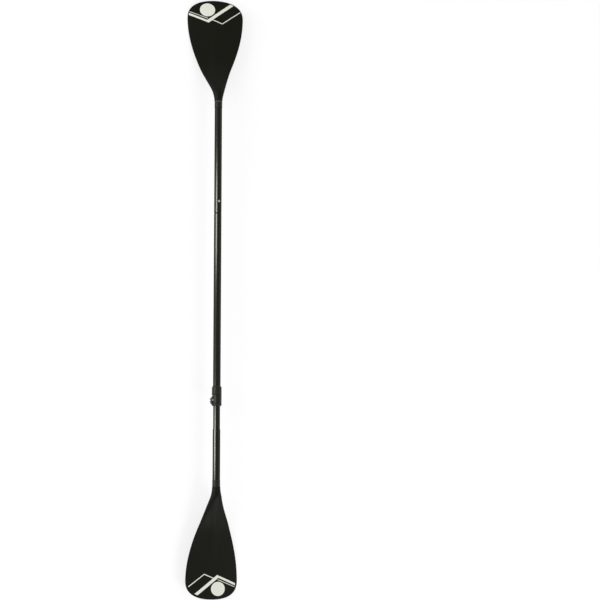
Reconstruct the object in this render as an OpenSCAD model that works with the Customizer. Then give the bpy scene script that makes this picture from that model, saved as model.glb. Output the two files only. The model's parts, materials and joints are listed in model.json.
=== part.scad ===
// Adjustable double-bladed kayak paddle, lying on a floor with the backs of its blades up.
// X runs along the shaft towards the upper blade, Z is up, and the origin is the middle of the grip.

/* [Shaft] */
// Outside diameter of the upper, middle and lower tubes
shaft_od = 28; // [25:0.5:32]
// Wall of the tubes
shaft_wall = 1.2; // [1:0.1:1.8]
// Grip centre to the seam between the upper and middle tubes
seam_x = 314; // [250:1:400]
// Upper tube that shows between the seam and the neck band
upper_show = 409; // [300:1:500]
// Grip centre to the top of the clamp collar
collar_x = 341; // [280:1:420]
// Inner tube that shows between the collar and the lower tube
inner_show = 86; // [84:1:160]
// Lower tube that shows between its shoulder and the neck band
lower_show = 188; // [120:1:300]
// Chamfer at the ends of the tubes
tube_ease = 0.4; // [0.2:0.1:0.6]

/* [Blade] */
// Length of a blade from the end of its neck to its tip
blade_len = 411; // [380:1:480]
// Greatest width of a blade
blade_w = 216; // [170:1:240]
// Neck end to the widest place
widest_at = 343; // [300:1:350]
// Pull of the neck end on the outline
neck_pull = 65; // [40:1:80]
// Pull of the widest place on the outline, towards the neck
shoulder_pull = 152; // [110:1:180]
// Pull of the widest place on the outline, towards the tip
tip_pull = 57; // [30:1:65]
// Half width of the blunt end of the tip
tip_pull_w = 48; // [30:1:70]
// Drop of the tip below the line of the shaft
blade_drop = 40; // [15:1:50]
// How early the drop happens: higher is closer to the neck
drop_power = 4.8; // [2:0.1:6]
// Length over which the neck eases into its bend
bend_ease = 12; // [8:1:25]
// Distance of the blade's middle line to one side of the line of the shaft
blade_aside = 8; // [0:0.5:12]
// Neck end to the place where the blade has moved aside
aside_run = 139; // [110:1:200]
// Drop of the edges below the spine at the widest place
camber = 9; // [2:0.5:14]
// Thickness of the blade where the neck has run out
blade_t = 5.4; // [4:0.2:8]
// Thickness of the blade near the tip
tip_t = 3.2; // [2.6:0.2:5]
// Height of the spine on each face where the neck has run out
spine_h = 5; // [2:0.5:8]
// Half width of the spine
spine_w = 17; // [10:1:26]
// Neck end to the place where the neck has become a plate
neck_run = 165; // [120:1:220]
// Wall of the neck around the tube
neck_wall = 1.3; // [1:0.1:2.5]
// Swelling of the neck towards the bottom of its socket
neck_swell = 1.2; // [0.6:0.1:3]
// Depth of the tube in the neck
socket_depth = 38; // [25:1:60]
// Turn of the lower blade against the upper one
feather = 21; // [0:1:60]

/* [Neck band] */
// Length of a neck band
band_len = 25; // [20:1:45]
// Wall of a neck band
band_wall = 0.75; // [0.6:0.05:1.5]

/* [Ferrule and button] */
// Length of the flange between the two tubes
flange_len = 4; // [2:0.5:8]
// Step of the flange below the outside of the tubes
flange_step = 0.3; // [0.1:0.1:0.6]
// Ferrule inside the upper tube
ferrule_up = 78; // [70:1:110]
// Ferrule inside the middle tube
ferrule_down = 60; // [40:1:90]
// Wall of the ferrule
ferrule_wall = 2.25; // [1.8:0.05:2.8]
// Stopper in the lower end of the ferrule
stopper_len = 12; // [8:1:20]
// Seam to the button
button_at = 46; // [40:1:60]
// Diameter of the button
button_d = 7.8; // [6:0.1:8.4]
// Button above the outside of the tube
button_proud = 1.8; // [1.2:0.1:2.4]
// Thickness of the button's inner flange
button_flange_t = 1.2; // [0.8:0.1:1.6]
// Width of the button's inner flange past its stem
button_flange_w = 1.3; // [0.8:0.1:1.6]
// Thickness of the leaf spring
leaf_t = 0.8; // [0.5:0.1:1]
// Width of the leaf spring
leaf_w = 5; // [4:0.5:6]
// Button to the fold of the leaf spring
leaf_len = 44; // [30:1:60]
// Radius of the fold of the leaf spring
leaf_fold = 3; // [2:0.1:4]

/* [Clamp collar] */
// Length of the collar
collar_len = 74; // [70:1:90]
// Outside diameter of the collar
collar_od = 36.4; // [35:0.2:40]
// Length of the collar's sloping nose
nose_len = 8; // [4:0.5:12]
// Lip of the nose above the tube
nose_lip = 0.8; // [0.5:0.1:1.5]
// Rounding of the collar's lower end
collar_round = 4; // [2:0.5:4.5]
// Middle tube inside the collar
sleeve_len = 31; // [20:1:32]
// Step turned on the middle tube where the collar sits
seat_step = 0.3; // [0.2:0.05:0.5]
// Top of the collar to the slit across it
slit_at = 34; // [33:0.5:35]
// Width of the slit across the collar
cross_slit = 2.6; // [1.5:0.1:4]
// Collar left uncut beside the slit, measured past the shaft's centre
slit_stop = 4; // [0:0.5:8]
// Width of the slit along the collar
long_slit = 3; // [2:0.1:5]

/* [Clamp ears and lever] */
// Top of the collar to the clamp's stud
stud_at = 52; // [50:0.5:54]
// Shaft's centre to the clamp's stud
stud_y = 17; // [16.6:0.1:19]
// Diameter of the stud
stud_d = 4; // [3.5:0.1:4.4]
// Stud to the slope at the upper end of the ears
ear_up = 5; // [4:0.5:7]
// Stud to the rounding at the lower end of the ears
ear_down = 11; // [9:0.5:13]
// Rounding of the ears
ear_r = 5; // [4.6:0.1:6]
// Rounding of the ears' outer edges
ear_ease = 1.5; // [0.5:0.1:2.5]
// Height of an ear above the slit's middle
ear_h = 8.5; // [8:0.1:10]
// Width of the nut across its flats
nut_flats = 7; // [6:0.5:7.5]
// Height of the nut
nut_h = 3.2; // [2.4:0.1:4]
// Depth of the nut in its recess
nut_sink = 1.4; // [0.5:0.1:2]
// Stud past the nut
stud_end = 0.8; // [0.4:0.1:2]
// Thickness of the steel saddle under the cam
saddle_t = 1.2; // [0.8:0.1:2]
// Width of the saddle across the shaft
saddle_w = 9; // [7:0.2:9.6]
// Diameter of the barrel that the lever turns on
barrel_d = 6; // [5.4:0.1:6.4]
// Radius of the cam
cam_r = 4.8; // [4.6:0.1:5.4]
// Centre of the cam past the barrel's centre
cam_offset = 0.4; // [0.2:0.1:0.6]
// Width of the lever
lever_w = 16; // [14:0.5:18]
// Width of the slot in the lever's head
fork_w = 5.4; // [5:0.1:6.5]
// Thickness of the lever at its back
lever_t = 4.4; // [3.5:0.1:5.5]
// Thinning of the lever towards its tip
lever_thin = 2.4; // [1.5:0.1:2.8]
// Angle round the shaft where the lever ends, from the ears
lever_wrap = 140; // [120:1:160]
// Radius of the lip at the lever's tip
lip_r = 2; // [1.6:0.1:3]
// Rounding of the corners at the lever's tip
lever_round = 5; // [3:0.5:6]

/* [Telescope] */
// Inner tube above the collar's slit, inside the middle tube
inner_insert = 185; // [150:1:260]
// Inner tube inside the lower tube
lower_insert = 50; // [30:1:80]
// Length of the glide ring
ring_len = 10; // [6:0.5:16]
// Gap in the split glide ring
ring_gap = 1.5; // [0.8:0.1:3]
// Wall of the glide ring
ring_wall = 3; // [2:0.1:4]
// Plug inside the inner tube
plug_len = 25; // [15:1:40]
// Thickness of the plug's head
head_t = 3.5; // [2:0.5:6]
// Length of the foam plugs at the blades
foam_len = 26; // [15:1:30]

/* [Fits] */
// Gap of a glued or pressed piece on each side
glue_gap = 0.05; // [0.02:0.01:0.08]
// Gap of a turning or sliding piece on each side
run_gap = 0.05; // [0.03:0.01:0.09]
// Gap of the inner tube in the larger tubes on each side
tube_gap = 0.1; // [0.06:0.01:0.2]
// Gap at the ends of pieces that face each other
end_gap = 0.15; // [0.1:0.05:0.3]
// Gap between the lever and the collar
lever_gap = 1; // [0.6:0.1:1.5]

/* [Hidden] */
$fn = 72;

// Facets of a blade: points round a section, sections up to the widest place and on to the tip
blade_sides = 36;
neck_sections = 19;
tip_sections = 11;
// Bend of the blade's two faces: the plate keeps its thickness until close to its edges
edge_power = 6;
// Steps in a quarter of a turned rounding
round_steps = 8;
// Reach of a cut that has to pass right through, and of one that only has to clear a face
through = 60;
clear = 1;

// Tubes
shaft_r = shaft_od / 2;
bore_r = shaft_r - shaft_wall;
inner_r = bore_r - tube_gap;
inner_bore_r = inner_r - shaft_wall;

// Places along the shaft
upper_start = seam_x + flange_len / 2;
upper_band_x = upper_start + upper_show;
upper_neck_x = upper_band_x + band_len;
upper_end = upper_neck_x + socket_depth - end_gap;
mid_end = seam_x - flange_len / 2;
collar_top = -collar_x;
mid_start = collar_top - sleeve_len;
slit_x = collar_top - slit_at;
collar_base = collar_top - collar_len;
shoulder_x = collar_base - inner_show;
lower_band_x = shoulder_x - lower_show;
lower_neck_x = lower_band_x - band_len;
lower_end = lower_neck_x - socket_depth + end_gap;
inner_top = slit_x + inner_insert;
inner_base = shoulder_x - lower_insert;

// Ferrule and button
ferrule_r = bore_r - glue_gap;
ferrule_bore_r = ferrule_r - ferrule_wall;
ferrule_base = seam_x - flange_len / 2 - ferrule_down;
ferrule_top = seam_x + flange_len / 2 + ferrule_up;
button_x = seam_x + button_at;
button_r = button_d / 2;
button_hole_r = button_r + run_gap;
button_flange_r = button_r + button_flange_w;
button_flange_top = sqrt(pow(ferrule_bore_r, 2) - pow(button_flange_r, 2)) - end_gap;
button_base = button_flange_top - button_flange_t;
button_top = shaft_r + button_proud;
leaf_floor = -sqrt(pow(ferrule_bore_r, 2) - pow(leaf_w / 2, 2)) + end_gap;
leaf_middle = (button_base + leaf_floor) / 2;

// Clamp
collar_r = collar_od / 2;
seat_r = shaft_r - seat_step;
grip_r = inner_r + run_gap;
stud_r = stud_d / 2;
stud_hole_r = stud_r + run_gap;
stud_x = collar_top - stud_at;
slit_base = slit_x - cross_slit;
// The ears start just below the slit, and a flat pocket behind them takes the saddle and the lever's head
ear_top = slit_base - 2 * end_gap;
pocket_y = stud_y - max(saddle_w / 2, cam_r + cam_offset) - 2 * end_gap;
nut_r = nut_flats / 2 / cos(30);
nut_base = ear_h - nut_sink;
stud_top = nut_base + nut_h + stud_end;
saddle_base = -ear_h - saddle_t;
barrel_r = barrel_d / 2;
barrel_z = saddle_base - end_gap - cam_r - cam_offset;
lever_r = collar_r + lever_gap;
barrel_angle = atan2(barrel_z, stud_y);
// The outer face of the lever is a circle off the shaft's centre, so that the lever thins towards its tip
lever_outer_r = lever_r + lever_t;
lever_shift = lever_thin / (1 + cos(180 - lever_wrap - barrel_angle));
lip_at = lever_r + (lever_t - lever_thin + lip_r) / 2;
lip_y = lip_at * cos(lever_wrap);
lip_z = -lip_at * sin(lever_wrap);

// Telescope
ring_outer_r = bore_r - run_gap;
ring_inner_r = ring_outer_r - ring_wall;
spindle_r = ring_inner_r - run_gap;
head_r = bore_r - 2 * tube_gap;
head_x = inner_top + ring_len + 2 * end_gap;

// Colours
tube_black = [0.15, 0.15, 0.14];
blade_black = [0.1, 0.1, 0.09];
clamp_black = [0.13, 0.13, 0.12];
steel_grey = [0.75, 0.76, 0.76];
foam_grey = [0.35, 0.36, 0.38];
nylon_black = [0.08, 0.08, 0.08];

// Cylinder along X from one place to another
module rod(from, to, r) {
    translate([from, 0, 0]) rotate([0, 90, 0]) cylinder(r = r, h = to - from);
}

// Cylinder along X through a point of the YZ plane
module rod_at(from, to, r, y, z) {
    translate([0, y, z]) rod(from, to, r);
}

// Turned piece: points are [radius, place along X]
module turned(points) {
    rotate([0, 90, 0]) rotate_extrude() polygon(points);
}

// Tube along X with chamfered outer ends
module pipe(from, to, outer, inner, ease) {
    turned([
        [inner, from], [outer - ease, from], [outer, from + ease],
        [outer, to - ease], [outer - ease, to], [inner, to]
    ]);
}

// Plug along X with chamfered ends
module plug(from, to, r, ease) {
    turned([[0, from], [r - ease, from], [r, from + ease], [r, to - ease], [r - ease, to], [0, to]]);
}

// Block along X from an outline in the YZ plane
module slab(from, to) {
    translate([from, 0, 0]) rotate([90, 0, 90]) linear_extrude(to - from) children();
}

// Quarter ellipse from the end of its first half axis to the end of its second
function quarter(r0, x0, dr, dx) = [
    for (i = [0:round_steps])
    let (turn = 90 * i / round_steps)
    [r0 + dr * cos(turn), x0 + dx * sin(turn)]
];

// Cubic curve through its two ends
function bezier(a, b, c, d, t) =
    pow(1 - t, 3) * a + 3 * pow(1 - t, 2) * t * b + 3 * (1 - t) * t * t * c + t * t * t * d;

// Smooth rise from 0 at the first place to 1 at the second
function rise(s, from, to) =
    let (t = max(0, min(1, (s - from) / (to - from)))) t * t * (3 - 2 * t);

// Place in a blade's socket where its bend starts
bend_start = socket_depth * 0.75;

// Outline of a blade: distance from the neck end and half width at each section
neck_r = shaft_r + glue_gap + neck_wall;
function neck_side(t) = [
    bezier(0, neck_pull, widest_at - shoulder_pull, widest_at, t),
    bezier(neck_r, neck_r, blade_w / 2, blade_w / 2, t)
];
function tip_side(t) = [
    bezier(widest_at, widest_at + tip_pull, blade_len, blade_len, t),
    bezier(blade_w / 2, blade_w / 2, tip_pull_w, 0, t)
];
sections = concat(
    [for (i = [0:neck_sections]) neck_side(i / neck_sections)],
    [for (i = [1:tip_sections - 1]) tip_side(i / tip_sections)]
);

// Drop of the spine: straight along the socket, a bend at its end, then level again towards the tip
function drop(s) =
    let (past = max(0, s - bend_start))
    let (eased = past - bend_ease * (1 - exp(-past / bend_ease)))
    let (t = min(1, eased / (blade_len - bend_start)))
    blade_drop * (1 - pow(1 - t, drop_power));

// Sideways place of the spine: in line with the shaft along the socket, then to one side
function aside(s) = blade_aside * rise(s, bend_start, aside_run);

// Half thickness of a blade at a section and a share q of its half width
function half_thickness(s, w, q) =
    let (plate_share = rise(s, socket_depth, neck_run))
    let (round_side = sqrt(max(0, 1 - q * q)))
    let (neck = (neck_r + neck_swell * min(1, s / socket_depth)) * round_side)
    let (plate = (blade_t + (tip_t - blade_t) * rise(s, neck_run, blade_len)) / 2)
    let (flat_side = sqrt(max(0, 1 - pow(q, edge_power))))
    let (fade = 1 - rise(s, neck_run / 2, widest_at))
    let (spine = spine_h * fade * exp(-pow(q * w / spine_w, 2)) * round_side)
    (1 - plate_share) * neck + plate_share * (plate * flat_side + spine);

// Point of a blade's surface at an angle round a section
function blade_point(section, angle) =
    let (s = section[0])
    let (w = section[1])
    let (q = cos(angle))
    let (side = sin(angle) < 0 ? -1 : 1)
    let (bow = camber * rise(s, socket_depth, widest_at) * pow(2 * w * q / blade_w, 2))
    let (middle = -drop(s) - bow)
    [s, aside(s) + w * q, middle + side * half_thickness(s, w, q)];

// Blade with its neck end at the origin and its tip towards X
module blade() {
    count = len(sections);
    points = concat(
        [
            for (section = sections)
            for (k = [0:blade_sides - 1])
            blade_point(section, 360 * k / blade_sides)
        ],
        [[0, 0, 0], [blade_len, aside(blade_len), -drop(blade_len)]]
    );
    neck_middle = count * blade_sides;
    tip = neck_middle + 1;
    last = (count - 1) * blade_sides;
    walls = [
        for (i = [0:count - 2])
        for (k = [0:blade_sides - 1])
        let (next = (k + 1) % blade_sides)
        let (a = i * blade_sides + k)
        let (b = i * blade_sides + next)
        each [[a, b, a + blade_sides], [b, b + blade_sides, a + blade_sides]]
    ];
    neck_end = [for (k = [0:blade_sides - 1]) [neck_middle, (k + 1) % blade_sides, k]];
    tip_end = [for (k = [0:blade_sides - 1]) [tip, last + k, last + (k + 1) % blade_sides]];
    difference() {
        polyhedron(points, concat(walls, neck_end, tip_end));
        rod(-clear, socket_depth, shaft_r + glue_gap);
    }
}

module upper_blade() {
    color(blade_black) rotate([-feather / 2, 0, 0]) translate([upper_neck_x, 0, 0]) blade();
}

module lower_blade() {
    color(blade_black) rotate([feather / 2, 0, 0])
        translate([lower_neck_x, 0, 0]) rotate([0, 0, 180]) blade();
}

// Neck band over a tube, with both edges chamfered
module neck_band(from) {
    pipe(from, from + band_len, shaft_r + glue_gap + band_wall, shaft_r + glue_gap, band_wall / 2);
}

module upper_neck_band() {
    color(nylon_black) neck_band(upper_band_x);
}

module lower_neck_band() {
    color(nylon_black) neck_band(lower_neck_x);
}

module upper_shaft() {
    color(tube_black) difference() {
        pipe(upper_start, upper_end, shaft_r, bore_r, tube_ease);
        translate([button_x, 0, 0]) cylinder(r = button_hole_r, h = through);
    }
}

module upper_shaft_plug() {
    color(foam_grey) plug(upper_end - foam_len, upper_end, bore_r - glue_gap, tube_ease);
}

// Middle tube, turned down where the collar sits
module mid_shaft() {
    color(tube_black) turned([
        [bore_r, mid_start], [seat_r, mid_start], [seat_r, collar_top], [shaft_r, collar_top],
        [shaft_r, mid_end - tube_ease], [shaft_r - tube_ease, mid_end], [bore_r, mid_end]
    ]);
}

// Ferrule with its flange between the two tubes and a hole for the button
module ferrule() {
    flange_r = shaft_r - flange_step;
    color(nylon_black) difference() {
        turned([
            [ferrule_bore_r, ferrule_base], [ferrule_r - tube_ease, ferrule_base],
            [ferrule_r, ferrule_base + tube_ease], [ferrule_r, mid_end], [flange_r, mid_end],
            [flange_r, upper_start], [ferrule_r, upper_start], [ferrule_r, ferrule_top - tube_ease],
            [ferrule_r - tube_ease, ferrule_top], [ferrule_bore_r, ferrule_top]
        ]);
        translate([button_x, 0, 0]) cylinder(r = button_hole_r, h = through);
    }
}

module ferrule_plug() {
    color(foam_grey) plug(ferrule_base, ferrule_base + stopper_len, ferrule_bore_r - glue_gap, tube_ease);
}

// Button with a domed top and a flange that stops it inside the ferrule
module snap_button() {
    dome_h = button_proud * 0.8;
    color(steel_grey) translate([button_x, 0, 0]) rotate_extrude() polygon(concat(
        [[0, button_base], [button_flange_r, button_base], [button_flange_r, button_flange_top],
         [button_r, button_flange_top]],
        quarter(0, button_top - dome_h, button_r, dome_h)
    ));
}

// Strip of the leaf spring between two points of its XZ profile
module leaf_strip(from, to) {
    run = to - from;
    across = [-run[1], run[0]] / norm(run) * leaf_t / 2;
    rotate([90, 0, 0]) linear_extrude(leaf_w, center = true)
        polygon([from - across, to - across, to + across, from + across]);
}

// V-shaped leaf spring: a pad under the button, a fold, and a leg on the floor of the ferrule
module button_spring() {
    fold_x = button_x - leaf_len;
    fold_r = leaf_fold - leaf_t / 2;
    pad_z = button_base - end_gap - leaf_t / 2;
    foot_z = leaf_floor + leaf_t / 2;
    color(steel_grey) union() {
        leaf_strip([button_x - button_r, pad_z], [button_x + button_r, pad_z]);
        leaf_strip([fold_x, leaf_middle + fold_r], [button_x - button_r + leaf_t / 2, pad_z]);
        leaf_strip([fold_x, leaf_middle - fold_r], [button_x - button_r + leaf_t / 2, foot_z]);
        leaf_strip([button_x - button_r, foot_z], [button_x + button_r, foot_z]);
        translate([fold_x, 0, leaf_middle]) rotate([90, 0, 0]) difference() {
            cylinder(r = leaf_fold, h = leaf_w, center = true);
            cylinder(r = leaf_fold - leaf_t, h = 2 * leaf_w, center = true);
            translate([0, -through / 2, -through / 2]) cube(through);
        }
    }
}

// Outside of the collar: sloping nose, straight side and rounded lower end
module collar_outside() {
    nose_r = shaft_r + nose_lip;
    turned(concat(
        [[0, collar_base]],
        [for (p = quarter(collar_round, 0, -collar_round, collar_round))
            [collar_r - collar_round + p[1], collar_base + p[0]]],
        quarter(nose_r, collar_top - nose_len, collar_r - nose_r, nose_len),
        [[0, collar_top]]
    ));
}

// Both ears in one block, with a slope at their upper end and rounded outer edges
module ear_block() {
    root_y = collar_r / 2;
    slope_y = sqrt(pow(collar_r, 2) - pow(ear_h, 2));
    lower = stud_x - ear_down;
    outer_y = stud_y + ear_r;
    edge_y = outer_y - ear_ease;
    edge_z = ear_h - ear_ease;
    intersection() {
        translate([0, 0, -ear_h]) union() {
            translate([lower, stud_y, 0]) cylinder(r = ear_r, h = 2 * ear_h);
            linear_extrude(2 * ear_h) polygon([
                [lower - ear_r, root_y], [lower - ear_r, stud_y], [lower, stud_y], [lower, outer_y],
                [stud_x + ear_up, outer_y], [ear_top, slope_y], [ear_top, root_y]
            ]);
        }
        union() {
            for (side = [-1, 1]) rod_at(collar_base, collar_top, ear_ease, edge_y, side * edge_z);
            translate([collar_base, 0, -ear_h]) cube([collar_len, edge_y, 2 * ear_h]);
            translate([collar_base, 0, -edge_z]) cube([collar_len, outer_y, 2 * edge_z]);
        }
    }
}

// Collar: sleeve on the middle tube above the slit, split ring with two ears below it
module clamp_collar() {
    color(clamp_black) difference() {
        union() {
            collar_outside();
            ear_block();
        }
        rod(mid_start, collar_top + clear, seat_r + glue_gap);
        rod(collar_base - clear, collar_top, grip_r);
        translate([slit_base, -slit_stop, -through / 2]) cube([cross_slit, through, through]);
        translate([collar_base - clear, 0, -long_slit / 2])
            cube([slit_x - collar_base + clear, through, long_slit]);
        translate([stud_x, stud_y, -through / 2]) cylinder(r = stud_hole_r, h = through);
        translate([stud_x, stud_y, nut_base]) cylinder(r = nut_r + 2 * end_gap, h = through);
        translate([stud_x - lever_w / 2 - lever_gap, pocket_y, -through])
            cube([lever_w + 2 * lever_gap, through, through - ear_h]);
    }
}

// Outline of the lever from behind, rounded at its tip
module lever_outline() {
    half = lever_w / 2 - lever_round;
    translate([stud_x, lip_y - lip_r + lever_round, -through]) union() {
        for (side = [-1, 1]) translate([side * half, 0, 0]) cylinder(r = lever_round, h = through);
        translate([-half, -lever_round, 0]) cube([2 * half, 2 * lever_round, through]);
        translate([-lever_w / 2, 0, 0]) cube([lever_w, through, through]);
    }
}

// Arm of the lever, from its head round the back of the collar to its lip
module lever_arm(from, to) {
    middle_angle = (barrel_angle - lever_wrap) / 2;
    intersection() {
        difference() {
            rod_at(
                from, to, lever_outer_r,
                lever_shift * cos(barrel_angle), lever_shift * sin(barrel_angle)
            );
            rod(from - clear, to + clear, lever_r);
        }
        slab(from - clear, to + clear) polygon([
            [0, 0], through * [cos(barrel_angle), sin(barrel_angle)],
            through * [cos(middle_angle), sin(middle_angle)], through * [cos(lever_wrap), -sin(lever_wrap)]
        ]);
    }
    rod_at(from, to, lip_r, lip_y, lip_z);
}

// Lever with an eccentric head
module clamp_lever() {
    from = stud_x - lever_w / 2;
    to = stud_x + lever_w / 2;
    color(clamp_black) difference() {
        intersection() {
            union() {
                rod_at(from, to, cam_r, stud_y, barrel_z + cam_offset);
                lever_arm(from, to);
            }
            lever_outline();
        }
        rod_at(from - clear, to + clear, barrel_r + run_gap, stud_y, barrel_z);
        translate([stud_x - fork_w / 2, stud_y - fork_w / 2, barrel_z - through / 2])
            cube([fork_w, through, through]);
    }
}

module clamp_bolt() {
    tip = stud_r * 0.3;
    color(steel_grey) translate([stud_x, stud_y, 0]) rotate_extrude() polygon([
        [0, barrel_z - barrel_r / 2], [stud_r, barrel_z - barrel_r / 2], [stud_r, stud_top - tip],
        [stud_r - tip, stud_top], [0, stud_top]
    ]);
}

// Barrel with a cross hole for the stud
module clamp_barrel() {
    half = lever_w / 2 - end_gap;
    color(steel_grey) difference() {
        rod_at(stud_x - half, stud_x + half, barrel_r, stud_y, barrel_z);
        translate([stud_x, stud_y, barrel_z - through / 2]) cylinder(r = stud_hole_r, h = through);
    }
}

module clamp_nut() {
    color(steel_grey) translate([stud_x, stud_y, nut_base]) difference() {
        cylinder(r = nut_r, h = nut_h, $fn = 6);
        translate([0, 0, -clear]) cylinder(r = stud_hole_r, h = nut_h + 2 * clear);
    }
}

module cam_saddle() {
    half = lever_w / 2 - saddle_w / 2;
    color(steel_grey) translate([stud_x, stud_y, saddle_base]) difference() {
        union() {
            for (side = [-1, 1]) translate([side * half, 0, 0]) cylinder(r = saddle_w / 2, h = saddle_t);
            translate([-half, -saddle_w / 2, 0]) cube([2 * half, saddle_w, saddle_t]);
        }
        translate([0, 0, -clear]) cylinder(r = stud_hole_r, h = saddle_t + 2 * clear);
    }
}

module inner_tube() {
    color(tube_black) pipe(inner_base, inner_top, inner_r, inner_bore_r, tube_ease);
}

// Plug with a spindle for the glide ring and a head that keeps the ring on
module inner_tube_plug() {
    stem_r = inner_bore_r - glue_gap;
    color(nylon_black) turned([
        [0, inner_top - plug_len], [stem_r, inner_top - plug_len], [stem_r, inner_top],
        [spindle_r, inner_top], [spindle_r, head_x], [head_r, head_x],
        [head_r, head_x + head_t - tube_ease], [head_r - tube_ease, head_x + head_t], [0, head_x + head_t]
    ]);
}

module glide_ring() {
    from = inner_top + end_gap;
    color(foam_grey) difference() {
        pipe(from, from + ring_len, ring_outer_r, ring_inner_r, tube_ease);
        translate([from - clear, -ring_gap / 2, -through]) cube([ring_len + 2 * clear, ring_gap, through]);
    }
}

module lower_shaft() {
    color(tube_black) pipe(lower_end, shoulder_x, shaft_r, bore_r, tube_ease);
}

module lower_shaft_plug() {
    color(foam_grey) plug(lower_end, lower_end + foam_len, bore_r - glue_gap, tube_ease);
}

upper_blade();
upper_neck_band();
upper_shaft();
upper_shaft_plug();
mid_shaft();
ferrule();
ferrule_plug();
snap_button();
button_spring();
clamp_collar();
clamp_lever();
clamp_bolt();
clamp_barrel();
clamp_nut();
cam_saddle();
inner_tube();
inner_tube_plug();
glide_ring();
lower_shaft();
lower_neck_band();
lower_blade();
lower_shaft_plug();
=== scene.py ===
"""Looks of an adjustable kayak paddle that lies on a white floor, built around its CAD frame."""

import json
import math

import bpy
import numpy as np
from mathutils import Matrix, Vector


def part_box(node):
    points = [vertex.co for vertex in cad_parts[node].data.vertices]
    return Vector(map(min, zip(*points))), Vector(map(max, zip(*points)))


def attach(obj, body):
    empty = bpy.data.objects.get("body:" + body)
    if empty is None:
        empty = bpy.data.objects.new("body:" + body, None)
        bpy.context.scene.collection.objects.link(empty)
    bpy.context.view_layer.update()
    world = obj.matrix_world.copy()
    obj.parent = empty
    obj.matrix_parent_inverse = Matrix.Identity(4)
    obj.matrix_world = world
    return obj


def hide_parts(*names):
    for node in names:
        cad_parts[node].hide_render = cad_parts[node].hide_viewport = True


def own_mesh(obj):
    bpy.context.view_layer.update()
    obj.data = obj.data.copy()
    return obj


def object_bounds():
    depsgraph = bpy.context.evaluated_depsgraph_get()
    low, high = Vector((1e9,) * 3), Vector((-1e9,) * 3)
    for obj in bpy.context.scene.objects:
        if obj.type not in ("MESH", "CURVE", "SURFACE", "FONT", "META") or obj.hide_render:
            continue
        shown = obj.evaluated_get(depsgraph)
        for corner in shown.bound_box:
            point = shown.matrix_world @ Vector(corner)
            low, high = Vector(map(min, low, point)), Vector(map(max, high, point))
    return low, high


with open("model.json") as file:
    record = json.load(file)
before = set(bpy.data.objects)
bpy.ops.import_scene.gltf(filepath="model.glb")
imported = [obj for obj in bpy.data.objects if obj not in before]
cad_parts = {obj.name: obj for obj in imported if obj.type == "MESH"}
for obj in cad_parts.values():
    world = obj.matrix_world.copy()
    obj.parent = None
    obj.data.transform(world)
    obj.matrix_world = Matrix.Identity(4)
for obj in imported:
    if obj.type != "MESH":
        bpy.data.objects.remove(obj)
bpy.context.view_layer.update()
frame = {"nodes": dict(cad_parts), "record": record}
nodes = frame["nodes"]

MM = 0.001

# Tube, from the mount on the middle tube
SHAFT_R = frame["record"]["mounts"][0]["dims"]["r_mm"]

# Blade, in millimetres: its neck end is at the origin and its tip towards X
BLADE_LEN = (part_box("upper_blade")[1].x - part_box("upper_blade")[0].x) / MM
BLADE_W = 216
# Outline of two curves that meet at the widest place, and the pull of their ends: at the neck, before and
# past the widest place, and across the tip
WIDEST_AT = 343
NECK_PULL = 65
SHOULDER_PULL = 152
TIP_PULL = 57
TIP_PULL_W = 48
# Neck: depth of its socket, glue gap, wall, swelling, chamfer at its end, and where it has become the plate
SOCKET_DEPTH = 38
GLUE_GAP = 0.05
NECK_WALL = 1.3
NECK_SWELL = 1.2
NECK_EASE = 0.7
NECK_RUN = 165
SOCKET_R = SHAFT_R + GLUE_GAP
NECK_R = SOCKET_R + NECK_WALL
# Bend below the shaft: how far the tip drops, how early the blade falls, how softly the bend starts, and at
# which share of the socket's depth
BLADE_DROP = 40
DROP_POWER = 4.8
BEND_EASE = 12
BEND_SHARE = 0.75
BEND_START = SOCKET_DEPTH * BEND_SHARE
# How far the plate sits to one side of the shaft, and where it has got there
BLADE_ASIDE = 8
ASIDE_RUN = 139
# Section: camber across the blade, thickness of the plate and of its tip, height and width of the spine
CAMBER = 9
BLADE_T = 5.4
TIP_T = 3.2
SPINE_H = 5
SPINE_W = 17
# Blade's rim: share of the thickness left at the edge, how late across the blade the thickness falls to it,
# and the radius that rounds it
RIM_SHARE = 0.55
RIM_POWER = 6
RIM_R = 1.5
# Turn of one blade against the other, in degrees
FEATHER = 21
# Mesh of a blade: sections up to the widest place and on to the tip, points round a section, the finer
# sections of the outline that distances to the edge are measured from, and a sine that counts as zero
NECK_SECTIONS = 110
TIP_SECTIONS = 44
BLADE_SIDES = 144
EDGE_SECTIONS = (300, 200)
NEARLY_ZERO = 1e-9

# Clamp's stud, in millimetres: pitch and depth of its thread, chamfer and sides, rings for each turn of the
# thread, the slack that keeps its last ring, and the angle in degrees above which an edge looks sharp
THREAD_PITCH = 0.7
THREAD_DEPTH = 0.4
STUD_EASE = 0.6
STUD_SIDES = 40
THREAD_RINGS = 8
THREAD_SLACK = 0.01
STUD_SHARP = 40

# Clamp's nut, in millimetres: chamfer of its bore and faces, slope of its cut corners in degrees, gap round
# the stud, sides, and the angle in degrees above which an edge looks sharp
NUT_EASE = 0.3
NUT_SLOPE = 30
NUT_GAP = 0.1
NUT_SIDES = 96
NUT_SHARP = 25

# Rounding of the edges of moulded, turned and small pieces, in millimetres, with its steps, the angle in
# degrees above which an edge is rounded, and the distance under which points are joined first
MOULDED_EASE = 0.6
TURNED_EASE = 0.25
BUTTON_EASE = 0.1
EASE_STEPS = 3
EASE_ABOVE = 40
WELD_UNDER = 0.01

# Leaf spring of the button, in millimetres: thickness, radius of its fold, steps round the fold, and rounds
# of cutting the corners of its bends with the share cut off
LEAF_T = 0.8
LEAF_FOLD = 3
FOLD_STEPS = 12
LEAF_ROUNDS = 3
LEAF_CUT = 0.25

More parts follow.
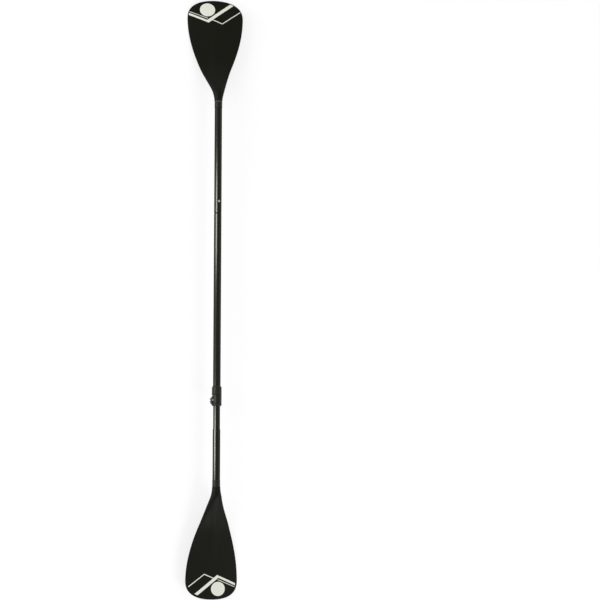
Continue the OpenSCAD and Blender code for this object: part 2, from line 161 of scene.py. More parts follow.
# Print on a blade, in millimetres from the neck end and from the blade's middle line: a wide and a thin
# chevron, a line beside the wide one's short arm, and a plain disc
WIDE_VERTEX = (328, 25.3)
WIDE_LONG_ARM = (391.7, -60)
WIDE_SHORT_ARM = (356.7, 101.3)
LONG_ARM_W = 11.5
SHORT_ARM_W = 8
THIN_VERTEX = (320, -30.6)
THIN_SHORT_ARM = (336.5, 12.3)
THIN_LONG_ARM = (367.6, -96)
THIN_W = 3.2
LINE_START = (339.5, 24.8)
LINE_END = (365.6, 97.7)
LINE_W = 2.2
DISC = (373.5, 27.2)
DISC_ALONG = 25.8
DISC_ACROSS = 29.5
# Softness of the print's edges; and of each blade's print, how far it sits towards the tip and to one side,
# and its bare margin inside the rim
PRINT_EDGE = 0.25
UPPER_PRINT = (0, 4.3, 3.5)
LOWER_PRINT = (-1.5, -4.3, 8)

# Length marks on the inner tube: the place of one of them along the shaft, their step and width in
# millimetres, and their place round the tube, reach round it and softness of their ends in degrees
MARK_AT = -462.8
MARK_STEP = 50
MARK_W = 1.6
MARK_SIDE = 93
MARK_TURN = 34
MARK_END = 1

# Camera, from a fit to the photograph: distance from the grip's middle in metres; lean towards the lower
# blade, turn to the side of the clamp's ears, where it aims and its roll in degrees; focal length in
# millimetres; and how far it sees in metres
CAMERA_DISTANCE = 6.527
CAMERA_PITCH = 8.73
CAMERA_SIDE = 17.92
AIM_RIGHT = 2.726
AIM_UP = -0.124
CAMERA_ROLL = 0.344
LENS = 104.24
CAMERA_REACH = 100

# Light, in metres, degrees and watts: surroundings that are white low down and darker overhead, where
# height is the sine of the angle above the floor, two panels to the left of the paddle, and a soft fill. A
# panel's numbers are the place along the shaft where it makes a highlight, its angle from straight above,
# its length and its power
WHITE_BELOW = 0.35
DARK_ABOVE = 0.8
OVERHEAD = 0.36
PANEL_AWAY = 8
PANEL_HEIGHT = 5
PANELS = (("upper_panel", 0.315, 59, 0.8, 150), ("lower_panel", -0.535, 70, 0.55, 122))
FILL_AT = (-5.5, -3.5, 5)
FILL_SIZE = 3
FILL_POWER = 200
FLOOR_COLOUR = (0.32, 0.32, 0.32, 1)
FLOOR_GLOW = 0.73
FLOOR_SIZE = 60

# Colours
WHITE = (1, 1, 1, 1)
BLACK_BLADE = (0.0065, 0.0065, 0.0038, 1)
BLACK_TUBE = (0.036, 0.036, 0.0312, 1)
BLACK_PLASTIC = (0.0075, 0.0075, 0.004, 1)
BLACK_BAND = (0.013, 0.013, 0.009, 1)
# Pale grey of the painted highlight on the upper neck band's rim
HIGHLIGHT_GREY = (0.12, 0.12, 0.11, 1)
CREAM = (0.80, 0.81, 0.72, 1)
BRIGHT_STEEL = (0.82, 0.82, 0.80, 1)
DULL_STEEL = (0.55, 0.55, 0.53, 1)
RING_GREY = (0.55, 0.55, 0.52, 1)
FOAM_GREY = (0.09, 0.09, 0.10, 1)

# Materials: grain is in waves per metre, roughness runs from a low to a high value, gloss is the specular
# level, bump is a strength and a depth in metres, and paler or darker multiplies the colour in places

# Blade: a fine grain and broad clouds
BLADE_GRAIN = 900
BLADE_CLOUD = 14
BLADE_PALER = 1.3
BLADE_ROUGH = (0.44, 0.54)
BLADE_GLOSS = 0.1
BLADE_BUMP = (0.12, 0.0002)

# Tubes: streaks along X, how much rougher they are around than along, from 0 to 1, and how much of a
# metal's reflection the anodised surface keeps where it is seen edge on
TUBE_STREAKS = (3, 900, 900)
TUBE_PALER = 1.35
TUBE_ROUGH = (0.14, 0.17)
TUBE_DRAWN = 0.85
TUBE_SHEEN = (0.3, 0.3, 0.3, 1)

# Neck bands, and the width of the upper one's pale rim in millimetres, which is a painted highlight where
# the band meets the blade's neck
BAND_GRAIN = 1200
BAND_ROUGH = (0.32, 0.42)
BAND_GLOSS = 0.22
BAND_HIGHLIGHT_W = 2.5

# Moulded plastics: colour, grain, strength of the bump, roughness in the middle of its range, and gloss
CLAMP_LOOK = (BLACK_PLASTIC, 2400, 0.4, 0.38, 0.3)
NYLON_LOOK = (BLACK_PLASTIC, 1500, 0.2, 0.5, 0.25)
RING_LOOK = (RING_GREY, 1500, 0.1, 0.4, 0.5)
FOAM_LOOK = (FOAM_GREY, 400, 0.8, 0.9, 0.1)
PLASTIC_CLOUD = 60
PLASTIC_PALER = 1.5
PLASTIC_VARIES = 0.08
PLASTIC_DEPTH = 0.0004

# Steels: colour and roughness in the middle of its range, and the turning marks
BRIGHT_LOOK = (BRIGHT_STEEL, 0.2)
DULL_LOOK = (DULL_STEEL, 0.42)
STEEL_MARKS = (1500, 200, 200)
STEEL_DARKER = 0.85
STEEL_VARIES = 0.07
STEEL_BUMP = (0.04, 0.0001)


class Tree:
    """Node tree of a material with a principled shader, and short calls that add nodes to it."""

    def __init__(self, name):
        self.material = bpy.data.materials.new(name)
        self.material.use_nodes = True
        self.nodes = self.material.node_tree.nodes
        self.links = self.material.node_tree.links
        self.shader = next(n for n in self.nodes if n.type == "BSDF_PRINCIPLED")

    def add(self, kind, **settings):
        node = self.nodes.new(kind)
        for key, value in settings.items():
            setattr(node, key, value)
        return node

    def feed(self, socket, value):
        if isinstance(value, bpy.types.NodeSocket):
            self.links.new(value, socket)
        else:
            socket.default_value = value

    def math(self, operation, a, b=0.0):
        node = self.add("ShaderNodeMath", operation=operation)
        self.feed(node.inputs[0], a)
        self.feed(node.inputs[1], b)
        return node.outputs[0]

    def place(self):
        return self.add("ShaderNodeTexCoord").outputs["Object"]

    def attribute(self, name, output):
        return self.add("ShaderNodeAttribute", attribute_name=name).outputs[output]

    def axes(self, vector):
        node = self.add("ShaderNodeSeparateXYZ")
        self.feed(node.inputs[0], vector)
        return node.outputs

    def stretched(self, scale):
        node = self.add("ShaderNodeMapping")
        self.feed(node.inputs["Vector"], self.place())
        node.inputs["Scale"].default_value = scale
        return node.outputs[0]

    def noise(self, vector, scale, detail=3.0):
        node = self.add("ShaderNodeTexNoise")
        self.feed(node.inputs["Vector"], vector)
        node.inputs["Scale"].default_value = scale
        node.inputs["Detail"].default_value = detail
        return node.outputs["Fac"]

    def spread(self, value, low, high):
        node = self.add("ShaderNodeMapRange")
        self.feed(node.inputs["Value"], value)
        node.inputs["To Min"].default_value = low
        node.inputs["To Max"].default_value = high
        return node.outputs["Result"]

    def step(self, value, edge, soft):
        """1 where value is below edge, 0 above it."""
        node = self.add("ShaderNodeMapRange", interpolation_type="SMOOTHSTEP")
        self.feed(node.inputs["Value"], value)
        node.inputs["From Min"].default_value = edge - soft
        node.inputs["From Max"].default_value = edge + soft
        node.inputs["To Min"].default_value = 1
        node.inputs["To Max"].default_value = 0
        return node.outputs["Result"]

    def mix(self, share, a, b):
        """Colour from a to b; the node's colour sockets go by number, because others share their names."""
        node = self.add("ShaderNodeMix", data_type="RGBA")
        self.feed(node.inputs["Factor"], share)
        self.feed(node.inputs[6], a)
        self.feed(node.inputs[7], b)
        return node.outputs[2]

    def bump(self, height, strength, distance):
        node = self.add("ShaderNodeBump")
        node.inputs["Strength"].default_value = strength
        node.inputs["Distance"].default_value = distance
        self.feed(node.inputs["Height"], height)
        self.links.new(node.outputs[0], self.shader.inputs["Normal"])

    def set(self, **values):
        for key, value in values.items():
            self.feed(self.shader.inputs[key.replace("_", " ")], value)


class Arm:
    """Straight stripe of the print from a start through an end, and the nodes that measure from it."""

    def __init__(self, tree, plan, start, end, width):
        self.tree = tree
        self.width = width
        run = Vector(end) - Vector(start)
        self.length = run.length
        along = run.normalized()
        dx = tree.math("SUBTRACT", plan[0], start[0])
        dy = tree.math("SUBTRACT", plan[1], start[1])
        self.along = self.pair("ADD", dx, along.x, dy, along.y)
        self.across = self.pair("SUBTRACT", dy, along.x, dx, along.y)
        self.direction = along

    def pair(self, operation, a, a_share, b, b_share):
        """Sum or difference of two values, each times its share."""
        first = self.tree.math("MULTIPLY", a, a_share)
        return self.tree.math(operation, first, self.tree.math("MULTIPLY", b, b_share))

    def side(self):
        """1 inside the stripe's two long edges."""
        return self.tree.step(self.tree.math("ABSOLUTE", self.across), self.width / 2, PRINT_EDGE)

    def past_start(self):
        """1 from the start on."""
        return self.tree.step(self.tree.math("MULTIPLY", self.along, -1.0), 0, PRINT_EDGE)

    def before_end(self):
        """1 up to the end."""
        return self.tree.step(self.along, self.length, PRINT_EDGE)

    def within(self, other):
        """1 on the inner side of the outer edge that this arm shares with the other arm of a chevron."""
        turn = self.direction.x * other.direction.y - self.direction.y * other.direction.x
        outward = self.tree.math("MULTIPLY", self.across, -math.copysign(1, turn))
        return self.tree.step(outward, self.width / 2, PRINT_EDGE)


def chevron(tree, first, second):
    """1 inside two arms that meet in a mitred point."""
    one = tree.math("MULTIPLY", first.side(), second.within(first))
    two = tree.math("MULTIPLY", second.side(), first.within(second))
    return tree.math("MAXIMUM", one, two)


def oval(tree, plan, middle, half_along, half_across):
    """1 inside an oval."""
    u = tree.math("DIVIDE", tree.math("SUBTRACT", plan[0], middle[0]), half_along)
    v = tree.math("DIVIDE", tree.math("SUBTRACT", plan[1], middle[1]), half_across)
    reach = tree.math("SQRT", tree.math("ADD", tree.math("MULTIPLY", u, u), tree.math("MULTIPLY", v, v)))
    return tree.step(reach, 1, PRINT_EDGE / half_along)


def blade_print(tree):
    """1 where the print is, on the blade's plan."""
    plan = tree.axes(tree.attribute("plan", "Vector"))
    wide_long = Arm(tree, plan, WIDE_VERTEX, WIDE_LONG_ARM, LONG_ARM_W)
    wide_short = Arm(tree, plan, WIDE_VERTEX, WIDE_SHORT_ARM, SHORT_ARM_W)
    thin_long = Arm(tree, plan, THIN_VERTEX, THIN_LONG_ARM, THIN_W)
    thin_short = Arm(tree, plan, THIN_VERTEX, THIN_SHORT_ARM, THIN_W)
    line = Arm(tree, plan, LINE_START, LINE_END, LINE_W)
    thin = tree.math("MULTIPLY", chevron(tree, thin_long, thin_short), thin_short.before_end())
    whole = tree.math("MAXIMUM", chevron(tree, wide_long, wide_short), thin)
    whole = tree.math("MAXIMUM", whole, tree.math("MULTIPLY", line.side(), line.past_start()))
    whole = tree.math("MAXIMUM", whole, oval(tree, plan, DISC, DISC_ALONG, DISC_ACROSS))
    inside = tree.math("SUBTRACT", 1.0, tree.step(tree.attribute("inside", "Fac"), 0, PRINT_EDGE))
    return tree.math("MULTIPLY", whole, inside)


def shade(colour, factor):
    """A colour made paler or darker."""
    return tuple(factor * c for c in colour[:3]) + (1,)


def blade_material(name, printed):
    """Matt moulded black with a fine grain; the printed face has cream stripes."""
    tree = Tree(name)
    grain = tree.noise(tree.place(), BLADE_GRAIN)
    cloud = tree.noise(tree.place(), BLADE_CLOUD)
    black = tree.mix(cloud, BLACK_BLADE, shade(BLACK_BLADE, BLADE_PALER))
    tree.set(Base_Color=tree.mix(blade_print(tree), black, CREAM) if printed else black)
    tree.set(Roughness=tree.spread(cloud, *BLADE_ROUGH), Specular_IOR_Level=BLADE_GLOSS)
    tree.bump(grain, *BLADE_BUMP)
    return tree.material


def tube_material(name, marked=False):
    """Satin black anodised tube, drawn lengthwise; the inner tube has short cream length marks."""
    tree = Tree(name)
    streaks = tree.noise(tree.stretched(TUBE_STREAKS), 1.0, detail=2.0)
    colour = tree.mix(streaks, BLACK_TUBE, shade(BLACK_TUBE, TUBE_PALER))
    if marked:
        colour = tree.mix(length_marks(tree), colour, CREAM)
    tree.set(Base_Color=colour, Metallic=1.0, Specular_Tint=TUBE_SHEEN)
    tree.set(Roughness=tree.spread(streaks, *TUBE_ROUGH), Anisotropic=TUBE_DRAWN)
    round_tube = tree.add("ShaderNodeTangent", direction_type="RADIAL", axis="X").outputs[0]
    tree.links.new(round_tube, tree.shader.inputs["Tangent"])
    return tree.material


def length_marks(tree):
    """1 on the marks: short bars across the tube, all on one side of it."""
    x, y, z = tree.axes(tree.stretched((1 / MM, 1 / MM, 1 / MM)))
    from_mark = tree.math("PINGPONG", tree.math("SUBTRACT", x, MARK_AT), MARK_STEP / 2)
    angle = tree.math("ARCTAN2", y, z)
    aside = tree.math("ABSOLUTE", tree.math("SUBTRACT", angle, math.radians(MARK_SIDE)))
    near = tree.step(from_mark, MARK_W / 2, PRINT_EDGE / 2)
    facing = tree.step(aside, math.radians(MARK_TURN) / 2, math.radians(MARK_END))
    return tree.math("MULTIPLY", near, facing)


def plastic_material(name, colour, grain, strength, roughness, gloss):
    """Moulded plastic with a spark-eroded grain."""
    tree = Tree(name)
    fine = tree.noise(tree.place(), grain)
    cloud = tree.noise(tree.place(), PLASTIC_CLOUD)
    tree.set(Base_Color=tree.mix(cloud, colour, shade(colour, PLASTIC_PALER)))
    tree.set(Roughness=tree.spread(fine, roughness - PLASTIC_VARIES, roughness + PLASTIC_VARIES))
    tree.set(Specular_IOR_Level=gloss)
    tree.bump(fine, strength, PLASTIC_DEPTH)
    return tree.material


def band_material(name):
    """Satin black band; the upper one has a painted highlight, a pale rim where it meets the blade's neck.
    """
    tree = Tree(name)
    x = tree.axes(tree.place())[0]
    # Painted highlight: the upper band is pale over its last millimetres next to the blade's neck
    painted_highlight = tree.math("GREATER_THAN", x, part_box("upper_neck_band")[1].x - BAND_HIGHLIGHT_W * MM)
    tree.set(Base_Color=tree.mix(painted_highlight, BLACK_BAND, HIGHLIGHT_GREY))
    tree.set(Roughness=tree.spread(tree.noise(tree.place(), BAND_GRAIN), *BAND_ROUGH))
    tree.set(Specular_IOR_Level=BAND_GLOSS)
    return tree.material


def steel_material(name, colour, roughness):
    """Stainless steel with fine turning marks."""
    tree = Tree(name)
    marks = tree.noise(tree.stretched(STEEL_MARKS), 1.0)
    tree.set(Base_Color=tree.mix(marks, colour, shade(colour, STEEL_DARKER)), Metallic=1.0)
    tree.set(Roughness=tree.spread(marks, roughness - STEEL_VARIES, roughness + STEEL_VARIES))
    tree.bump(marks, *STEEL_BUMP)
    return tree.material


def floor_material():
    """Pale floor that looks white, and still takes the shadow."""
    tree = Tree("floor_white")
    rays = tree.add("ShaderNodeLightPath")
    seen = tree.math("MAXIMUM", rays.outputs["Is Camera Ray"], rays.outputs["Is Glossy Ray"])
    seen = tree.math("MAXIMUM", seen, rays.outputs["Is Transmission Ray"])
    tree.set(Base_Color=FLOOR_COLOUR, Roughness=1.0, Specular_IOR_Level=0.0)
    tree.set(Emission_Color=WHITE, Emission_Strength=tree.math("MULTIPLY", seen, FLOOR_GLOW))
    return tree.material


def new_piece(name, points, faces, materials, face_slots=None, sharp=50):
    """Mesh object from points in metres, smooth except at edges that turn by more than sharp degrees."""
    mesh = bpy.data.meshes.new(name)
    mesh.from_pydata([tuple(p) for p in points], [], faces)
    for material in materials:
        mesh.materials.append(material)
    if face_slots is not None:
        mesh.polygons.foreach_set("material_index", face_slots)
    mesh.polygons.foreach_set("use_smooth", [True] * len(mesh.polygons))
    mesh.set_sharp_from_angle(angle=math.radians(sharp))
    piece = bpy.data.objects.new(name, mesh)
    bpy.context.scene.collection.objects.link(piece)
    return piece


def bezier(a, b, c, d, t):
    """Cubic curve from a to d that is pulled by b and c."""
    return (1 - t) ** 3 * a + 3 * (1 - t) ** 2 * t * b + 3 * (1 - t) * t * t * c + t ** 3 * d


def rise(s, start, end):
    """Smooth step from 0 at start to 1 at end."""
    t = np.clip((s - start) / (end - start), 0, 1)
    return t * t * (3 - 2 * t)


def blade_outline(neck_count, tip_count):
    """Distance from the neck end and half width at each section, ending at the tip."""
    t = np.linspace(0, 1, neck_count + 1)
    u = np.linspace(0, 1, tip_count + 1)[1:]
    s = np.append(
        bezier(0, NECK_PULL, WIDEST_AT - SHOULDER_PULL, WIDEST_AT, t),
        bezier(WIDEST_AT, WIDEST_AT + TIP_PULL, BLADE_LEN, BLADE_LEN, u),
    )
    w = np.append(
        bezier(NECK_R, NECK_R, BLADE_W / 2, BLADE_W / 2, t),
        bezier(BLADE_W / 2, BLADE_W / 2, TIP_PULL_W, 0, u),
    )
    return s, w


def drop(s):
    """Depth of the blade's middle below the shaft."""
    past = np.maximum(0, s - BEND_START)
    eased = past - BEND_EASE * (1 - np.exp(-past / BEND_EASE))
    t = np.minimum(1, eased / (BLADE_LEN - BEND_START))
    return BLADE_DROP * (1 - (1 - t) ** DROP_POWER)


def aside(s):
    """Sideways place of the spine."""
    return BLADE_ASIDE * rise(s, BEND_START, ASIDE_RUN)


def edge_distance(s, y, edge_s, edge_w):
    """Distance from points of a section to the outline, in the plane of the blade."""
    a = np.stack([edge_s[:-1], edge_w[:-1]], 1)
    run = np.stack([edge_s[1:], edge_w[1:]], 1) - a
    points = np.stack([np.full_like(y, s), np.abs(y)], 1)[:, None, :]
    share = np.clip(((points - a) * run).sum(2) / (run * run).sum(1), 0, 1)
    return np.linalg.norm(points - a - share[:, :, None] * run, axis=2).min(1)


def half_thickness(s, w, q, edge):
    """Half thickness at a section and a share q of its half width, at a distance from the outline."""
    round_side = np.sqrt(np.maximum(0, 1 - q * q))
    neck = (NECK_R + NECK_SWELL * min(1, s / SOCKET_DEPTH)) * round_side
    plate = (BLADE_T + (TIP_T - BLADE_T) * rise(s, NECK_RUN, BLADE_LEN)) / 2
    taper = RIM_SHARE + (1 - RIM_SHARE) * np.sqrt(np.maximum(0, 1 - q ** RIM_POWER))
    rim = np.sqrt(np.maximum(0, 1 - (1 - np.minimum(1, edge / RIM_R)) ** 2))
    fade = 1 - rise(s, NECK_RUN / 2, WIDEST_AT)
    spine = SPINE_H * fade * np.exp(-((q * w / SPINE_W) ** 2)) * round_side
    share = rise(s, SOCKET_DEPTH, NECK_RUN)
    return (1 - share) * neck + share * (plate * taper * rim + spine)


def ring(s, r):
    """Circle of points round the tube's line, at a distance from the neck end."""
    angle = np.linspace(0, 2 * math.pi, BLADE_SIDES, endpoint=False)
    return np.stack([np.full_like(angle, s), r * np.cos(angle), r * np.sin(angle), 0 * angle], 1)


def blade_rings():
    """Rings of points from the bottom of the socket, out over the neck end and along to the tip.

    Each point has a fourth number: its distance from the outline.
    """
    edge_s, edge_w = blade_outline(*EDGE_SECTIONS)
    angle = np.linspace(0, 2 * math.pi, BLADE_SIDES, endpoint=False)
    q = np.cos(angle)
    side = np.where(np.sin(angle) < -NEARLY_ZERO, -1, 1)
    rings = [ring(SOCKET_DEPTH, SOCKET_R), ring(0, SOCKET_R), ring(0, NECK_R - NECK_EASE)]
    for s, w in list(zip(*blade_outline(NECK_SECTIONS, TIP_SECTIONS)))[:-1]:
        if 0 < s < NECK_EASE:
            continue
        start = max(s, NECK_EASE)
        edge = edge_distance(start, w * q, edge_s, edge_w)
        bow = CAMBER * rise(start, SOCKET_DEPTH, WIDEST_AT) * (2 * w * q / BLADE_W) ** 2
        z = side * half_thickness(start, w, q, edge) - bow - drop(start)
        rings.append(np.stack([np.full_like(q, start), aside(start) + w * q, z, edge], 1))
    return rings


def ring_faces(count, sides):
    """Quads between rings of points that follow each other."""
    faces = []
    for i in range(0, (count - 1) * sides, sides):
        for k in range(sides):
            after = (k + 1) % sides
            faces.append((i + k, i + after, i + after + sides, i + k + sides))
    return faces


def end_faces(count, sides, first, last):
    """Fans from a point before the first ring and a point after the last one."""
    faces = []
    start = (count - 1) * sides
    for k in range(sides):
        after = (k + 1) % sides
        faces += [(first, after, k), (last, start + k, start + after)]
    return faces


def make_blade(name, node, body, turn, roll, print_place, materials):
    """Blade of one closed skin: socket, neck, spoon-shaped plate and rounded rim.

    The first half of each ring is the back of the blade, which has the print.
    """
    rings = blade_rings()
    ends = [[SOCKET_DEPTH, 0, 0, 0], [BLADE_LEN, BLADE_ASIDE, -drop(BLADE_LEN), 0]]
    local = np.concatenate(rings + [ends])
    low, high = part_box(node)
    place = (
        Matrix.Rotation(math.radians(roll), 4, "X")
        @ Matrix.Translation((high.x if turn else low.x, 0, 0))
        @ Matrix.Rotation(math.radians(turn), 4, "Z")
    )
    points = [place @ Vector(p[:3] * MM) for p in local]
    faces = ring_faces(len(rings), BLADE_SIDES)
    slots = [int(k % BLADE_SIDES >= BLADE_SIDES / 2) for k in range(len(faces))]
    faces += end_faces(len(rings), BLADE_SIDES, len(local) - 2, len(local) - 1)
    slots += [1] * (len(faces) - len(slots))
    piece = new_piece(name, points, faces, materials, slots)
    to_tip, to_side, margin = print_place
    across = local[:, 1] - aside(local[:, 0])
    plan = piece.data.attributes.new("plan", "FLOAT_VECTOR", "POINT")
    on_plan = np.stack([local[:, 0] - to_tip, across - to_side, local[:, 2]], 1)
    plan.data.foreach_set("vector", on_plan.ravel())
    inside = piece.data.attributes.new("inside", "FLOAT", "POINT")
    inside.data.foreach_set("value", local[:, 3] - margin)
    seat(piece, node, body)


def seat(piece, node, body):
    """Puts a piece in the place of a CAD node."""
    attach(piece, body)
    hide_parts(node)


def make_stud(material):
    """Threaded stud of the clamp with a chamfered end."""
    low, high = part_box("clamp_bolt")
    middle, r = (low + high) / 2, (high.y - low.y) / 2 / MM
    z = np.arange(low.z / MM, high.z / MM + THREAD_SLACK, THREAD_PITCH / THREAD_RINGS)
    angle = np.linspace(0, 2 * math.pi, STUD_SIDES, endpoint=False)
    turns = z[:, None] / THREAD_PITCH - angle / (2 * math.pi)
    groove = 1 - np.abs(2 * (turns % 1) - 1)
    limit = r - STUD_EASE + np.minimum(STUD_EASE, high.z / MM - z)
    radius = np.minimum(r - THREAD_DEPTH * groove, limit[:, None])
    x = middle.x + radius * np.cos(angle) * MM
    y = middle.y + radius * np.sin(angle) * MM
    points = np.stack([x, y, np.broadcast_to(z[:, None] * MM, x.shape)], 2).reshape(-1, 3)
    ends = [[middle.x, middle.y, z[0] * MM], [middle.x, middle.y, z[-1] * MM]]
    faces = ring_faces(len(z), STUD_SIDES)
    faces += end_faces(len(z), STUD_SIDES, len(points), len(points) + 1)
    stud = new_piece("threaded_stud", np.concatenate([points, ends]), faces, [material], sharp=STUD_SHARP)
    seat(stud, "clamp_bolt", "grip_section")


def make_nut(material):
    """Hexagon nut with chamfered corners and a countersunk bore."""
    low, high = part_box("clamp_nut")
    middle, flats = (low + high) / 2, (high.y - low.y) / MM
    bottom, top = low.z / MM, high.z / MM
    bore = (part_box("clamp_bolt")[1].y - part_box("clamp_bolt")[0].y) / 2 / MM + NUT_GAP
    angle = np.linspace(0, 2 * math.pi, NUT_SIDES, endpoint=False)
    hexagon = flats / 2 / np.cos(angle % (math.pi / 3) - math.pi / 6)
    face = np.full_like(angle, flats / 2 - NUT_EASE)
    fall = (hexagon - face) * math.tan(math.radians(NUT_SLOPE))
    hole, mouth = np.full_like(angle, bore), np.full_like(angle, bore + NUT_EASE)
    profile = [
        (hole, bottom + NUT_EASE), (mouth, bottom), (face, bottom), (hexagon, bottom + fall),
        (hexagon, top - fall), (face, top), (mouth, top), (hole, top - NUT_EASE), (hole, bottom + NUT_EASE),
    ]
    rings = [np.stack([r * np.cos(angle), r * np.sin(angle), z + 0 * angle], 1) for r, z in profile]
    points = np.concatenate(rings) * MM + (middle.x, middle.y, 0)
    faces = ring_faces(len(rings), NUT_SIDES)
    nut = new_piece("hexagon_nut", points, faces, [material], sharp=NUT_SHARP)
    weld = nut.modifiers.new("weld", "WELD")
    weld.merge_threshold = WELD_UNDER * MM
    seat(nut, "clamp_nut", "grip_section")


def leaf_line():
    """Middle line of the leaf spring in X and Z, in millimetres: pad, leg, fold, leg and foot."""
    low, high = (np.array(corner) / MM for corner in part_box("button_spring"))
    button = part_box("snap_button")
    pad_x = (button[0].x + button[1].x) / MM - high[0]
    pad_z, foot_z = high[2] - LEAF_T / 2, low[2] + LEAF_T / 2
    turn = np.linspace(math.pi / 2, 3 * math.pi / 2, FOLD_STEPS + 1)
    r = LEAF_FOLD - LEAF_T / 2
    fold = np.stack([low[0] + LEAF_FOLD + r * np.cos(turn), (low[2] + high[2]) / 2 + r * np.sin(turn)], 1)
    line = np.concatenate([[(high[0], pad_z), (pad_x, pad_z)], fold, [(pad_x, foot_z), (high[0], foot_z)]])
    for _ in range(LEAF_ROUNDS):
        near = (1 - LEAF_CUT) * line[:-1] + LEAF_CUT * line[1:]
        far = LEAF_CUT * line[:-1] + (1 - LEAF_CUT) * line[1:]
        line = np.concatenate([line[:1], np.stack([near, far], 1).reshape(-1, 2), line[-1:]])
    return line


def make_spring(material):
    """V-shaped leaf spring of the snap button."""
    low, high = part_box("button_spring")
    line = leaf_line()
    run = np.gradient(line, axis=0)
    across = np.stack([-run[:, 1], run[:, 0]], 1) / np.linalg.norm(run, axis=1)[:, None] * LEAF_T / 2
    corners = []
    for side, y in ((1, high.y), (1, low.y), (-1, low.y), (-1, high.y)):
        x, z = ((line + side * across) * MM).T
        corners.append(np.stack([x, np.full_like(x, y), z], 1))
    points = np.stack(corners, 1).reshape(-1, 3)
    sides = len(corners)
    first, last = range(sides), range(len(points) - sides, len(points))
    faces = ring_faces(len(line), sides) + [tuple(reversed(first)), tuple(last)]
    spring = new_piece("leaf_spring", points, faces, [material])
    seat(spring, "button_spring", "grip_section")
    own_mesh(spring)


def finish_node(name, material, ease=0.0):
    """Gives a CAD node its material and, where its edges are moulded or turned, a small rounding."""
    piece = nodes[name]
    piece.data.materials.clear()
    piece.data.materials.append(material)
    if ease:
        weld = piece.modifiers.new("weld", "WELD")
        weld.merge_threshold = WELD_UNDER * MM
        bevel = piece.modifiers.new("ease", "BEVEL")
        bevel.width = ease * MM
        bevel.segments = EASE_STEPS
        bevel.limit_method = "ANGLE"
        bevel.angle_limit = math.radians(EASE_ABOVE)
        bevel.harden_normals = True


def dress_nodes():
    """Materials of the CAD nodes that stay."""
    tube = tube_material("black_tube")
    clamp = plastic_material("clamp_plastic", *CLAMP_LOOK)
    band = band_material("neck_band")
    nylon = plastic_material("black_nylon", *NYLON_LOOK)
    ring_plastic = plastic_material("wear_ring", *RING_LOOK)
    foam = plastic_material("foam", *FOAM_LOOK)
    bright = steel_material("bright_steel", *BRIGHT_LOOK)
    dull = steel_material("dull_steel", *DULL_LOOK)
    for name in ("upper_shaft", "mid_shaft", "lower_shaft"):
        finish_node(name, tube)
    finish_node("inner_tube", tube_material("marked_tube", marked=True))
    for name in ("upper_neck_band", "lower_neck_band"):
        finish_node(name, band)
    for name in ("ferrule", "inner_tube_plug"):
        finish_node(name, nylon)
    for name in ("upper_shaft_plug", "lower_shaft_plug", "ferrule_plug"):
        finish_node(name, foam)
    for name in ("clamp_collar", "clamp_lever"):
        finish_node(name, clamp, MOULDED_EASE)
    for name in ("clamp_barrel", "cam_saddle"):
        finish_node(name, dull, TURNED_EASE)
    finish_node("snap_button", bright, BUTTON_EASE)
    finish_node("glide_ring", ring_plastic)
    make_stud(dull)
    make_nut(dull)
    make_spring(bright)


def make_blades():
    """Two blades of one moulding, turned half the feather angle each way."""
    looks = [blade_material("blade_printed", True), blade_material("blade_plain", False)]
    make_blade("upper_blade_skin", "upper_blade", "grip_section", 0, -FEATHER / 2, UPPER_PRINT, looks)
    make_blade("lower_blade_skin", "lower_blade", "lower_section", 180, FEATHER / 2, LOWER_PRINT, looks)


def make_floor():
    """Floor at the lowest point of the paddle."""
    half = FLOOR_SIZE / 2
    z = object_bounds()[0].z
    corners = [(-half, -half, z), (half, -half, z), (half, half, z), (-half, half, z)]
    new_piece("floor", corners, [(0, 1, 2, 3)], [floor_material()])


def make_world():
    """Studio with white sides and a darker ceiling."""
    world = bpy.data.worlds.new("studio")
    world.use_nodes = True
    tree = world.node_tree
    way = tree.nodes.new("ShaderNodeTexCoord")
    axes = tree.nodes.new("ShaderNodeSeparateXYZ")
    level = tree.nodes.new("ShaderNodeMapRange")
    level.interpolation_type = "SMOOTHSTEP"
    level.inputs["From Min"].default_value = WHITE_BELOW
    level.inputs["From Max"].default_value = DARK_ABOVE
    level.inputs["To Min"].default_value = 1
    level.inputs["To Max"].default_value = OVERHEAD
    background = tree.nodes["Background"]
    background.inputs["Color"].default_value = WHITE
    tree.links.new(way.outputs["Generated"], axes.inputs[0])
    tree.links.new(axes.outputs["Z"], level.inputs["Value"])
    tree.links.new(level.outputs["Result"], background.inputs["Strength"])
    bpy.context.scene.world = world


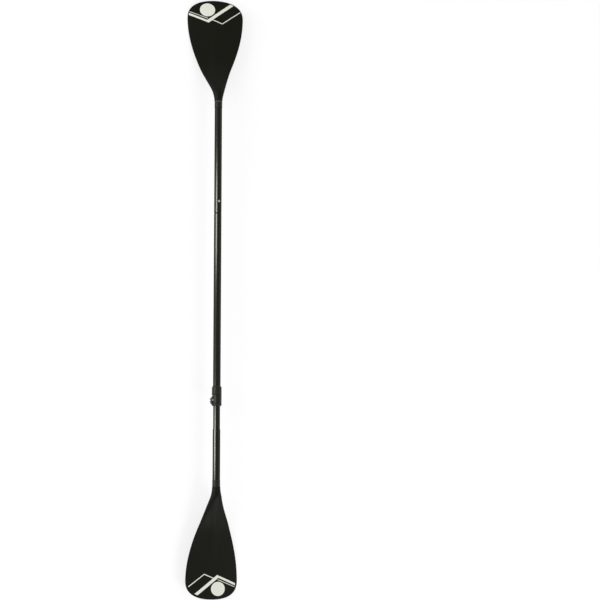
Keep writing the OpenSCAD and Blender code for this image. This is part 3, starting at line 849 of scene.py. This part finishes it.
def area_light(name, place, along, size, power):
    """Rectangular light that faces the middle of the shaft, or the point level with it along the shaft."""
    data = bpy.data.lights.new(name, "AREA")
    data.shape = "RECTANGLE"
    data.size, data.size_y = size
    data.energy = power
    light = bpy.data.objects.new(name, data)
    back = (place - along).normalized()
    side = Vector((1, 0, 0)) - back * back.x
    side.normalize()
    turn = Matrix((side, back.cross(side), back)).transposed().to_4x4()
    light.matrix_world = Matrix.Translation(place) @ turn
    light.visible_camera = False
    bpy.context.scene.collection.objects.link(light)


def make_lights():
    """Panels that the shaft mirrors to the camera at one place along its length each, and a soft fill."""
    eye = bpy.context.scene.camera.matrix_world.translation
    for name, highlight, lean, length, power in PANELS:
        along = Vector((highlight + PANEL_AWAY * (highlight - eye.x) / CAMERA_DISTANCE, 0, 0))
        away = Matrix.Rotation(math.radians(-lean), 3, "X") @ Vector((0, 0, PANEL_AWAY))
        area_light(name, along + away, along, (length, PANEL_HEIGHT), power)
    area_light("fill", Vector(FILL_AT), Vector(), (FILL_SIZE, FILL_SIZE), FILL_POWER)


def make_camera():
    """Camera above the paddle, leaning to the lower blade and to the side of the ears."""
    pitch, side = math.radians(CAMERA_PITCH), math.radians(CAMERA_SIDE)
    back = Vector((-math.sin(pitch), math.cos(pitch) * math.sin(side), math.cos(pitch) * math.cos(side)))
    right = (-back).cross(Vector((1, 0, 0))).normalized()
    up = back.cross(right)
    turn = Matrix((right, up, back)).transposed().to_4x4()
    aim = (
        Matrix.Rotation(math.radians(-AIM_RIGHT), 4, "Y")
        @ Matrix.Rotation(math.radians(AIM_UP), 4, "X")
        @ Matrix.Rotation(math.radians(CAMERA_ROLL), 4, "Z")
    )
    data = bpy.data.cameras.new("camera")
    data.lens = LENS
    data.clip_end = CAMERA_REACH
    camera = bpy.data.objects.new("camera", data)
    camera.matrix_world = Matrix.Translation(back * CAMERA_DISTANCE) @ turn @ aim
    bpy.context.scene.collection.objects.link(camera)
    bpy.context.scene.camera = camera


make_camera()
make_world()
make_lights()
make_blades()
dress_nodes()
make_floor()
bpy.context.scene.view_settings.view_transform = "Standard"
